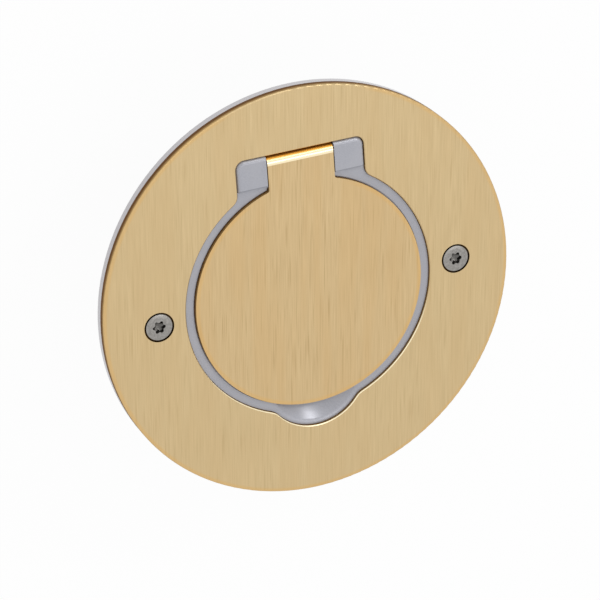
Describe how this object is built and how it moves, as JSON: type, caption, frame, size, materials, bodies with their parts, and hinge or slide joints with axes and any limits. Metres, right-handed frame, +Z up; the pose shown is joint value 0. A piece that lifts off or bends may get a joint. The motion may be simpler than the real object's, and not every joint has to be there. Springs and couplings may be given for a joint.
{
  "type": "floor socket box",
  "caption": "Round in-floor power socket box: screwed brass cover plate, hinged lid with finger recess, shuttered socket with side earth clips in a stepped plastic box.",
  "frame": {"origin": "centre of the flange's underside, at finished floor level, on the axis of the round box", "axes": "+Z up out of the floor, +Y from the centre towards the lid's hinge, +X along the hinge line, through the right-hand cover screw"},
  "size_m": [0.13, 0.13, 0.0508],
  "materials": {
    "brushed_brass": "brushed satin, clear lacquer",
    "die_cast_metal": "satin silver-grey enamel on a zinc die casting",
    "screw_steel": "satin nickel-plated steel",
    "hinge_steel": "drawn stainless steel",
    "zinc_steel": "zinc-plated sheet steel",
    "black_plastic": "fine matt moulded",
    "white_plastic": "semi-gloss moulded",
    "ivory_plastic": "matt moulded, glass-filled",
    "grey_plastic": "matt moulded",
    "contact_brass": "bright rolled",
    "spring_steel": "drawn wire",
    "black_rubber": "matt",
    "sealing_foam": "closed-cell foam rubber"
  },
  "bodies": {
    "box": {"cover_plate": "brushed_brass", "base_frame": "die_cast_metal", "floor_gasket": "sealing_foam", "plate_screws": "screw_steel", "hinge_pin": "hinge_steel", "socket_face": "white_plastic", "face_screw": "zinc_steel", "socket_base": "ivory_plastic", "rear_cover": "ivory_plastic", "cover_screws": "zinc_steel", "shutter_spring": "spring_steel", "line_contact": "contact_brass", "neutral_contact": "contact_brass", "earth_strap": "contact_brass", "terminal_clamps": "zinc_steel", "terminal_screws": "zinc_steel", "support_ring": "zinc_steel", "base_rivets": "zinc_steel", "device_screws": "zinc_steel", "floor_box": "black_plastic", "threaded_inserts": "contact_brass", "entry_grommet": "black_rubber", "blanking_plug": "black_plastic"},
    "lid": {"lid_plate": "brushed_brass", "lid_liner": "black_plastic", "lid_seal": "black_rubber", "lid_screws": "screw_steel"},
    "shutter": {"shutter": "grey_plastic"}
  },
  "joints": [
    {"name": "lid_hinge", "type": "hinge", "parent": "box", "child": "lid", "pos_m": [0, 0.04315, 0.00225], "axis": [-1, 0, 0], "range_deg": [0, 95]},
    {"name": "shutter_slide", "type": "slide", "parent": "box", "child": "shutter", "axis": [0, -1, 0], "range_m": [0, 0.0062], "stiffness_N_per_m": 150, "springref_m": -0.003, "deforming": ["shutter_spring"]}
  ]
}
